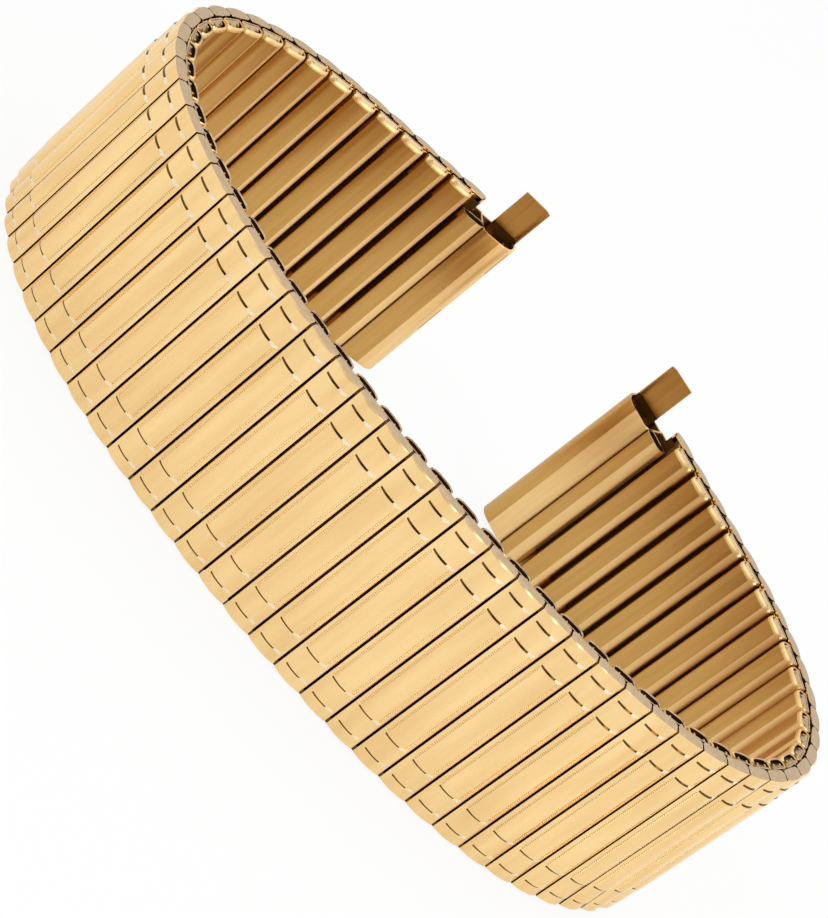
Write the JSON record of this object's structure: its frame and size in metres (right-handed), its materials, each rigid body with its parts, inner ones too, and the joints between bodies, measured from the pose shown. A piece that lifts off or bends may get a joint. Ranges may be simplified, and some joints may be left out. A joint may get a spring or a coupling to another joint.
{
  "type": "expansion watch band",
  "caption": "Flexible metal watch band of linked outer and inner links that stretches and bends, with hollow end tubes and sliding tabs for a watch's spring bars.",
  "frame": {"origin": "middle of the loop's outline at the rims that it stands on", "axes": "+Z along the band's width, +Y from the closed front towards the open ends, +X along the front"},
  "size_m": [0.0658, 0.0416, 0.0192],
  "materials": {
    "polished_gold": "polished gold plate on steel",
    "satin_gold": "satin gold plate on steel"
  },
  "bodies": {
    "centre_link": {"centre_link": "polished_gold"},
    "front_link_right_01": {"front_link_right_01": "polished_gold"},
    "front_link_right_02": {"front_link_right_02": "polished_gold"},
    "front_link_right_03": {"front_link_right_03": "polished_gold"},
    "front_link_right_04": {"front_link_right_04": "polished_gold"},
    "front_link_right_05": {"front_link_right_05": "polished_gold"},
    "front_link_right_06": {"front_link_right_06": "polished_gold"},
    "front_link_right_07": {"front_link_right_07": "polished_gold"},
    "front_link_right_08": {"front_link_right_08": "polished_gold"},
    "front_link_right_09": {"front_link_right_09": "polished_gold"},
    "front_link_right_10": {"front_link_right_10": "polished_gold"},
    "turn_link_right_11": {"turn_link_right_11": "polished_gold"},
    "turn_link_right_12": {"turn_link_right_12": "polished_gold"},
    "turn_link_right_13": {"turn_link_right_13": "polished_gold"},
    "turn_link_right_14": {"turn_link_right_14": "polished_gold"},
    "turn_link_right_15": {"turn_link_right_15": "polished_gold"},
    "turn_link_right_16": {"turn_link_right_16": "polished_gold"},
    "turn_link_right_17": {"turn_link_right_17": "polished_gold"},
    "turn_link_right_18": {"turn_link_right_18": "polished_gold"},
    "turn_link_right_19": {"turn_link_right_19": "polished_gold"},
    "turn_link_right_20": {"turn_link_right_20": "polished_gold"},
    "turn_link_right_21": {"turn_link_right_21": "polished_gold"},
    "turn_link_right_22": {"turn_link_right_22": "polished_gold"},
    "arm_link_right_23": {"arm_link_right_23": "polished_gold"},
    "arm_link_right_24": {"arm_link_right_24": "polished_gold"},
    "arm_link_right_25": {"arm_link_right_25": "polished_gold"},
    "end_right": {"end_links_right": "polished_gold", "end_tube_right": "satin_gold"},
    "top_tab_right": {"top_tab_right": "satin_gold"},
    "bottom_tab_right": {"bottom_tab_right": "satin_gold"},
    "front_link_left_01": {"front_link_left_01": "polished_gold"},
    "front_link_left_02": {"front_link_left_02": "polished_gold"},
    "front_link_left_03": {"front_link_left_03": "polished_gold"},
    "front_link_left_04": {"front_link_left_04": "polished_gold"},
    "front_link_left_05": {"front_link_left_05": "polished_gold"},
    "front_link_left_06": {"front_link_left_06": "polished_gold"},
    "front_link_left_07": {"front_link_left_07": "polished_gold"},
    "front_link_left_08": {"front_link_left_08": "polished_gold"},
    "front_link_left_09": {"front_link_left_09": "polished_gold"},
    "front_link_left_10": {"front_link_left_10": "polished_gold"},
    "turn_link_left_11": {"turn_link_left_11": "polished_gold"},
    "turn_link_left_12": {"turn_link_left_12": "polished_gold"},
    "turn_link_left_13": {"turn_link_left_13": "polished_gold"},
    "turn_link_left_14": {"turn_link_left_14": "polished_gold"},
    "turn_link_left_15": {"turn_link_left_15": "polished_gold"},
    "turn_link_left_16": {"turn_link_left_16": "polished_gold"},
    "turn_link_left_17": {"turn_link_left_17": "polished_gold"},
    "turn_link_left_18": {"turn_link_left_18": "polished_gold"},
    "turn_link_left_19": {"turn_link_left_19": "polished_gold"},
    "turn_link_left_20": {"turn_link_left_20": "polished_gold"},
    "turn_link_left_21": {"turn_link_left_21": "polished_gold"},
    "turn_link_left_22": {"turn_link_left_22": "polished_gold"},
    "arm_link_left_23": {"arm_link_left_23": "polished_gold"},
    "arm_link_left_24": {"arm_link_left_24": "polished_gold"},
    "arm_link_left_25": {"arm_link_left_25": "polished_gold"},
    "end_left": {"end_links_left": "polished_gold", "end_tube_left": "satin_gold"},
    "top_tab_left": {"top_tab_left": "satin_gold"},
    "bottom_tab_left": {"bottom_tab_left": "satin_gold"}
  },
  "joints": [
    {"name": "stretch", "type": "slide", "parent": "centre_link", "child": "front_link_right_01", "axis": [0.9998, 0.0175, 0], "range_m": [0, 0.00125], "stiffness_N_per_m": 40},
    {"name": "stretch_right_02", "type": "slide", "parent": "front_link_right_01", "child": "front_link_right_02", "axis": [0.9986, 0.0523, 0], "range_m": [0, 0.00125], "stiffness_N_per_m": 40},
    {"name": "stretch_right_03", "type": "slide", "parent": "front_link_right_02", "child": "front_link_right_03", "axis": [0.9962, 0.0872, 0], "range_m": [0, 0.00125], "stiffness_N_per_m": 40},
    {"name": "stretch_right_04", "type": "slide", "parent": "front_link_right_03", "child": "front_link_right_04", "axis": [0.9924, 0.1227, 0], "range_m": [0, 0.00125], "stiffness_N_per_m": 40},
    {"name": "stretch_right_05", "type": "slide", "parent": "front_link_right_04", "child": "front_link_right_05", "axis": [0.9869, 0.1614, 0], "range_m": [0, 0.00125], "stiffness_N_per_m": 40},
    {"name": "stretch_right_06", "type": "slide", "parent": "front_link_right_05", "child": "front_link_right_06", "axis": [0.9786, 0.2057, 0], "range_m": [0, 0.00125], "stiffness_N_per_m": 40},
    {"name": "stretch_right_07", "type": "slide", "parent": "front_link_right_06", "child": "front_link_right_07", "axis": [0.9661, 0.2581, 0], "range_m": [0, 0.00125], "stiffness_N_per_m": 40},
    {"name": "stretch_right_08", "type": "slide", "parent": "front_link_right_07", "child": "front_link_right_08", "axis": [0.9474, 0.3202, 0], "range_m": [0, 0.00125], "stiffness_N_per_m": 40},
    {"name": "stretch_right_09", "type": "slide", "parent": "front_link_right_08", "child": "front_link_right_09", "axis": [0.9197, 0.3926, 0], "range_m": [0, 0.00125], "stiffness_N_per_m": 40},
    {"name": "stretch_right_10", "type": "slide", "parent": "front_link_right_09", "child": "front_link_right_10", "axis": [0.88, 0.475, 0], "range_m": [0, 0.00125], "stiffness_N_per_m": 40},
    {"name": "flex_right_11", "type": "hinge", "parent": "front_link_right_10", "child": "turn_link_right_11", "pos_m": [0.02522, -0.01486, 0.00845], "axis": [0, 0, -1], "range_deg": [-0.78, 6.5]},
    {"name": "flex_right_12", "type": "hinge", "parent": "turn_link_right_11", "child": "turn_link_right_12", "pos_m": [0.0272, -0.01333, 0.00845], "axis": [0, 0, -1], "range_deg": [-0.88, 7.32]},
    {"name": "flex_right_13", "type": "hinge", "parent": "turn_link_right_12", "child": "turn_link_right_13", "pos_m": [0.02897, -0.01157, 0.00845], "axis": [0, 0, -1], "range_deg": [-0.97, 8.09]},
    {"name": "flex_right_14", "type": "hinge", "parent": "turn_link_right_13", "child": "turn_link_right_14", "pos_m": [0.03047, -0.00957, 0.00845], "axis": [0, 0, -1], "range_deg": [-1.05, 8.77]},
    {"name": "flex_right_15", "type": "hinge", "parent": "turn_link_right_14", "child": "turn_link_right_15", "pos_m": [0.03165, -0.00736, 0.00845], "axis": [0, 0, -1], "range_deg": [-1.12, 9.33]},
    {"name": "flex_right_16", "type": "hinge", "parent": "turn_link_right_15", "child": "turn_link_right_16", "pos_m": [0.03246, -0.005, 0.00845], "axis": [0, 0, -1], "range_deg": [-1.17, 9.75]},
    {"name": "flex_right", "type": "hinge", "parent": "turn_link_right_16", "child": "turn_link_right_17", "pos_m": [0.03285, -0.00253, 0.00845], "axis": [0, 0, -1], "range_deg": [-1.2, 10.01]},
    {"name": "flex_right_18", "type": "hinge", "parent": "turn_link_right_17", "child": "turn_link_right_18", "pos_m": [0.03281, -0.00003, 0.00845], "axis": [0, 0, -1], "range_deg": [-1.21, 10.1]},
    {"name": "flex_right_19", "type": "hinge", "parent": "turn_link_right_18", "child": "turn_link_right_19", "pos_m": [0.03233, 0.00243, 0.00845], "axis": [0, 0, -1], "range_deg": [-1.19, 9.94]},
    {"name": "flex_right_20", "type": "hinge", "parent": "turn_link_right_19", "child": "turn_link_right_20", "pos_m": [0.03143, 0.00476, 0.00845], "axis": [0, 0, -1], "range_deg": [-1.14, 9.48]},
    {"name": "flex_right_21", "type": "hinge", "parent": "turn_link_right_20", "child": "turn_link_right_21", "pos_m": [0.03017, 0.00691, 0.00845], "axis": [0, 0, -1], "range_deg": [-1.05, 8.72]},
    {"name": "flex_right_22", "type": "hinge", "parent": "turn_link_right_21", "child": "turn_link_right_22", "pos_m": [0.02859, 0.00885, 0.00845], "axis": [0, 0, -1], "range_deg": [-0.93, 7.71]},
    {"name": "stretch_right_23", "type": "slide", "parent": "turn_link_right_22", "child": "arm_link_right_23", "axis": [-0.7678, 0.6406, 0], "range_m": [0, 0.00125], "stiffness_N_per_m": 40},
    {"name": "stretch_right_24", "type": "slide", "parent": "arm_link_right_23", "child": "arm_link_right_24", "axis": [-0.8287, 0.5596, 0], "range_m": [0, 0.00125], "stiffness_N_per_m": 40},
    {"name": "stretch_right_25", "type": "slide", "parent": "arm_link_right_24", "child": "arm_link_right_25", "axis": [-0.8691, 0.4946, 0], "range_m": [0, 0.00125], "stiffness_N_per_m": 40},
    {"name": "stretch_right_26", "type": "slide", "parent": "arm_link_right_25", "child": "end_right", "axis": [-0.8931, 0.4499, 0], "range_m": [0, 0.00125], "stiffness_N_per_m": 40},
    {"name": "slide_top_tab_right", "type": "slide", "parent": "end_right", "child": "top_tab_right", "axis": [0, 0, 1], "range_m": [-0.0038, 0]},
    {"name": "slide_bottom_tab_right", "type": "slide", "parent": "end_right", "child": "bottom_tab_right", "axis": [0, 0, -1], "range_m": [0, 0.0038]},
    {"name": "stretch_left_01", "type": "slide", "parent": "centre_link", "child": "front_link_left_01", "axis": [-0.9998, 0.0175, 0], "range_m": [0, 0.00125], "stiffness_N_per_m": 40},
    {"name": "stretch_left_02", "type": "slide", "parent": "front_link_left_01", "child": "front_link_left_02", "axis": [-0.9986, 0.0523, 0], "range_m": [0, 0.00125], "stiffness_N_per_m": 40},
    {"name": "stretch_left_03", "type": "slide", "parent": "front_link_left_02", "child": "front_link_left_03", "axis": [-0.9962, 0.0872, 0], "range_m": [0, 0.00125], "stiffness_N_per_m": 40},
    {"name": "stretch_left_04", "type": "slide", "parent": "front_link_left_03", "child": "front_link_left_04", "axis": [-0.9924, 0.1227, 0], "range_m": [0, 0.00125], "stiffness_N_per_m": 40},
    {"name": "stretch_left_05", "type": "slide", "parent": "front_link_left_04", "child": "front_link_left_05", "axis": [-0.9869, 0.1614, 0], "range_m": [0, 0.00125], "stiffness_N_per_m": 40},
    {"name": "stretch_left_06", "type": "slide", "parent": "front_link_left_05", "child": "front_link_left_06", "axis": [-0.9786, 0.2057, 0], "range_m": [0, 0.00125], "stiffness_N_per_m": 40},
    {"name": "stretch_left_07", "type": "slide", "parent": "front_link_left_06", "child": "front_link_left_07", "axis": [-0.9661, 0.2581, 0], "range_m": [0, 0.00125], "stiffness_N_per_m": 40},
    {"name": "stretch_left_08", "type": "slide", "parent": "front_link_left_07", "child": "front_link_left_08", "axis": [-0.9474, 0.3202, 0], "range_m": [0, 0.00125], "stiffness_N_per_m": 40},
    {"name": "stretch_left_09", "type": "slide", "parent": "front_link_left_08", "child": "front_link_left_09", "axis": [-0.9197, 0.3926, 0], "range_m": [0, 0.00125], "stiffness_N_per_m": 40},
    {"name": "stretch_left_10", "type": "slide", "parent": "front_link_left_09", "child": "front_link_left_10", "axis": [-0.88, 0.475, 0], "range_m": [0, 0.00125], "stiffness_N_per_m": 40},
    {"name": "flex_left_11", "type": "hinge", "parent": "front_link_left_10", "child": "turn_link_left_11", "pos_m": [-0.02522, -0.01486, 0.00845], "axis": [0, 0, 1], "range_deg": [-0.78, 6.5]},
    {"name": "flex_left_12", "type": "hinge", "parent": "turn_link_left_11", "child": "turn_link_left_12", "pos_m": [-0.0272, -0.01333, 0.00845], "axis": [0, 0, 1], "range_deg": [-0.88, 7.32]},
    {"name": "flex_left_13", "type": "hinge", "parent": "turn_link_left_12", "child": "turn_link_left_13", "pos_m": [-0.02897, -0.01157, 0.00845], "axis": [0, 0, 1], "range_deg": [-0.97, 8.09]},
    {"name": "flex_left_14", "type": "hinge", "parent": "turn_link_left_13", "child": "turn_link_left_14", "pos_m": [-0.03047, -0.00957, 0.00845], "axis": [0, 0, 1], "range_deg": [-1.05, 8.77]},
    {"name": "flex_left_15", "type": "hinge", "parent": "turn_link_left_14", "child": "turn_link_left_15", "pos_m": [-0.03165, -0.00736, 0.00845], "axis": [0, 0, 1], "range_deg": [-1.12, 9.33]},
    {"name": "flex_left_16", "type": "hinge", "parent": "turn_link_left_15", "child": "turn_link_left_16", "pos_m": [-0.03246, -0.005, 0.00845], "axis": [0, 0, 1], "range_deg": [-1.17, 9.75]},
    {"name": "flex_left", "type": "hinge", "parent": "turn_link_left_16", "child": "turn_link_left_17", "pos_m": [-0.03285, -0.00253, 0.00845], "axis": [0, 0, 1], "range_deg": [-1.2, 10.01]},
    {"name": "flex_left_18", "type": "hinge", "parent": "turn_link_left_17", "child": "turn_link_left_18", "pos_m": [-0.03281, -0.00003, 0.00845], "axis": [0, 0, 1], "range_deg": [-1.21, 10.1]},
    {"name": "flex_left_19", "type": "hinge", "parent": "turn_link_left_18", "child": "turn_link_left_19", "pos_m": [-0.03233, 0.00243, 0.00845], "axis": [0, 0, 1], "range_deg": [-1.19, 9.94]},
    {"name": "flex_left_20", "type": "hinge", "parent": "turn_link_left_19", "child": "turn_link_left_20", "pos_m": [-0.03143, 0.00476, 0.00845], "axis": [0, 0, 1], "range_deg": [-1.14, 9.48]},
    {"name": "flex_left_21", "type": "hinge", "parent": "turn_link_left_20", "child": "turn_link_left_21", "pos_m": [-0.03017, 0.00691, 0.00845], "axis": [0, 0, 1], "range_deg": [-1.05, 8.72]},
    {"name": "flex_left_22", "type": "hinge", "parent": "turn_link_left_21", "child": "turn_link_left_22", "pos_m": [-0.02859, 0.00885, 0.00845], "axis": [0, 0, 1], "range_deg": [-0.93, 7.71]},
    {"name": "stretch_left_23", "type": "slide", "parent": "turn_link_left_22", "child": "arm_link_left_23", "axis": [0.7678, 0.6406, 0], "range_m": [0, 0.00125], "stiffness_N_per_m": 40},
    {"name": "stretch_left_24", "type": "slide", "parent": "arm_link_left_23", "child": "arm_link_left_24", "axis": [0.8287, 0.5596, 0], "range_m": [0, 0.00125], "stiffness_N_per_m": 40},
    {"name": "stretch_left_25", "type": "slide", "parent": "arm_link_left_24", "child": "arm_link_left_25", "axis": [0.8691, 0.4946, 0], "range_m": [0, 0.00125], "stiffness_N_per_m": 40},
    {"name": "stretch_left_26", "type": "slide", "parent": "arm_link_left_25", "child": "end_left", "axis": [0.8931, 0.4499, 0], "range_m": [0, 0.00125], "stiffness_N_per_m": 40},
    {"name": "slide_top_tab_left", "type": "slide", "parent": "end_left", "child": "top_tab_left", "axis": [0, 0, 1], "range_m": [-0.0038, 0]},
    {"name": "slide_bottom_tab_left", "type": "slide", "parent": "end_left", "child": "bottom_tab_left", "axis": [0, 0, -1], "range_m": [0, 0.0038]}
  ],
  "couplings": [
    {"joint": "stretch_right_02", "follows": "stretch", "ratio": 1},
    {"joint": "stretch_right_03", "follows": "stretch", "ratio": 1},
    {"joint": "stretch_right_04", "follows": "stretch", "ratio": 1},
    {"joint": "stretch_right_05", "follows": "stretch", "ratio": 1},
    {"joint": "stretch_right_06", "follows": "stretch", "ratio": 1},
    {"joint": "stretch_right_07", "follows": "stretch", "ratio": 1},
    {"joint": "stretch_right_08", "follows": "stretch", "ratio": 1},
    {"joint": "stretch_right_09", "follows": "stretch", "ratio": 1},
    {"joint": "stretch_right_10", "follows": "stretch", "ratio": 1},
    {"joint": "flex_right_11", "follows": "flex_right", "ratio": 0.64901},
    {"joint": "flex_right_12", "follows": "flex_right", "ratio": 0.7312},
    {"joint": "flex_right_13", "follows": "flex_right", "ratio": 0.80791},
    {"joint": "flex_right_14", "follows": "flex_right", "ratio": 0.87582},
    {"joint": "flex_right_15", "follows": "flex_right", "ratio": 0.93199},
    {"joint": "flex_right_16", "follows": "flex_right", "ratio": 0.97399},
    {"joint": "flex_right_18", "follows": "flex_right", "ratio": 1.0089},
    {"joint": "flex_right_19", "follows": "flex_right", "ratio": 0.99336},
    {"joint": "flex_right_20", "follows": "flex_right", "ratio": 0.94686},
    {"joint": "flex_right_21", "follows": "flex_right", "ratio": 0.87149},
    {"joint": "flex_right_22", "follows": "flex_right", "ratio": 0.77065},
    {"joint": "stretch_right_23", "follows": "stretch", "ratio": 1},
    {"joint": "stretch_right_24", "follows": "stretch", "ratio": 1},
    {"joint": "stretch_right_25", "follows": "stretch", "ratio": 1},
    {"joint": "stretch_right_26", "follows": "stretch", "ratio": 1},
    {"joint": "stretch_left_01", "follows": "stretch", "ratio": 1},
    {"joint": "stretch_left_02", "follows": "stretch", "ratio": 1},
    {"joint": "stretch_left_03", "follows": "stretch", "ratio": 1},
    {"joint": "stretch_left_04", "follows": "stretch", "ratio": 1},
    {"joint": "stretch_left_05", "follows": "stretch", "ratio": 1},
    {"joint": "stretch_left_06", "follows": "stretch", "ratio": 1},
    {"joint": "stretch_left_07", "follows": "stretch", "ratio": 1},
    {"joint": "stretch_left_08", "follows": "stretch", "ratio": 1},
    {"joint": "stretch_left_09", "follows": "stretch", "ratio": 1},
    {"joint": "stretch_left_10", "follows": "stretch", "ratio": 1},
    {"joint": "flex_left_11", "follows": "flex_left", "ratio": 0.64901},
    {"joint": "flex_left_12", "follows": "flex_left", "ratio": 0.7312},
    {"joint": "flex_left_13", "follows": "flex_left", "ratio": 0.80791},
    {"joint": "flex_left_14", "follows": "flex_left", "ratio": 0.87582},
    {"joint": "flex_left_15", "follows": "flex_left", "ratio": 0.93199},
    {"joint": "flex_left_16", "follows": "flex_left", "ratio": 0.97399},
    {"joint": "flex_left_18", "follows": "flex_left", "ratio": 1.0089},
    {"joint": "flex_left_19", "follows": "flex_left", "ratio": 0.99336},
    {"joint": "flex_left_20", "follows": "flex_left", "ratio": 0.94686},
    {"joint": "flex_left_21", "follows": "flex_left", "ratio": 0.87149},
    {"joint": "flex_left_22", "follows": "flex_left", "ratio": 0.77065},
    {"joint": "stretch_left_23", "follows": "stretch", "ratio": 1},
    {"joint": "stretch_left_24", "follows": "stretch", "ratio": 1},
    {"joint": "stretch_left_25", "follows": "stretch", "ratio": 1},
    {"joint": "stretch_left_26", "follows": "stretch", "ratio": 1}
  ]
}
